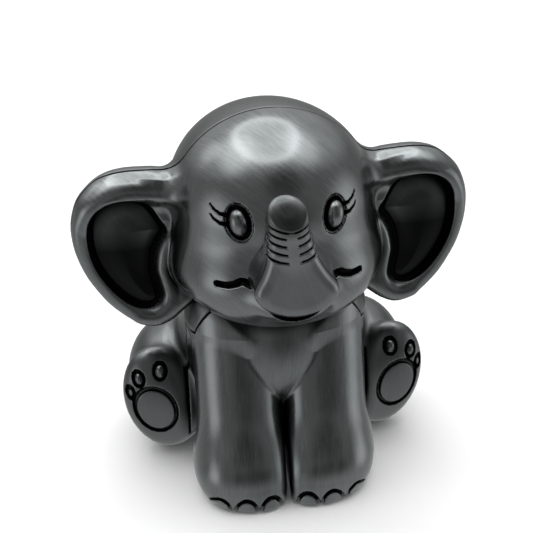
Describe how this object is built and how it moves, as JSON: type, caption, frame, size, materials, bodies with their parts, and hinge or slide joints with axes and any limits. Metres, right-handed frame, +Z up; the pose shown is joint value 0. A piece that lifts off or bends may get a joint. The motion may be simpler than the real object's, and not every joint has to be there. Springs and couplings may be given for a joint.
{
  "type": "figural coin bank",
  "caption": "Sitting baby elephant coin bank in brushed antique-pewter castings, with a coin slot behind the head and a twist-out stopper in the base.",
  "frame": {"origin": "on the floor under the middle of the bank's width and depth", "axes": "+Z up; the elephant faces -Y; +X is the elephant's left, the right-hand side for someone looking at its face"},
  "size_m": [0.1142, 0.0856, 0.1092],
  "materials": {
    "pewter_front": "antique pewter plating, brushed bright on the high spots and left black in the grooves",
    "pewter_back": "antique pewter plating, softly satined, smoother than the front",
    "pewter_trunk": "antique pewter plating, brushed along the trunk, black in the creases",
    "collar_zinc": "plain turned metal",
    "plate_steel": "dark plated sheet",
    "stopper_zinc": "dark plated casting",
    "seal_rubber": "matt rubber",
    "screw_steel": "zinc-plated steel",
    "pad_rubber": "matt rubber"
  },
  "bodies": {
    "bank": {"head_front_shell": "pewter_front", "head_back_shell": "pewter_back", "body_front_shell": "pewter_front", "body_back_shell": "pewter_back", "trunk": "pewter_trunk", "neck_collar": "collar_zinc", "base_plate": "plate_steel", "base_screw_1": "screw_steel", "base_screw_2": "screw_steel", "base_screw_3": "screw_steel", "base_screw_4": "screw_steel", "foot_pad_front_left": "pad_rubber", "foot_pad_front_right": "pad_rubber", "foot_pad_rear_left": "pad_rubber", "foot_pad_rear_right": "pad_rubber"},
    "seal": {"stopper_seal": "seal_rubber"},
    "stopper": {"stopper": "stopper_zinc"}
  },
  "joints": [
    {"name": "stopper_pull", "type": "slide", "parent": "bank", "child": "seal", "axis": [0, 0, -1], "range_m": [0, 0.03]},
    {"name": "stopper_turn", "type": "hinge", "parent": "seal", "child": "stopper", "pos_m": [0, 0.01563, 0.003], "axis": [0, 0, 1], "range_deg": [0, 90]}
  ]
}
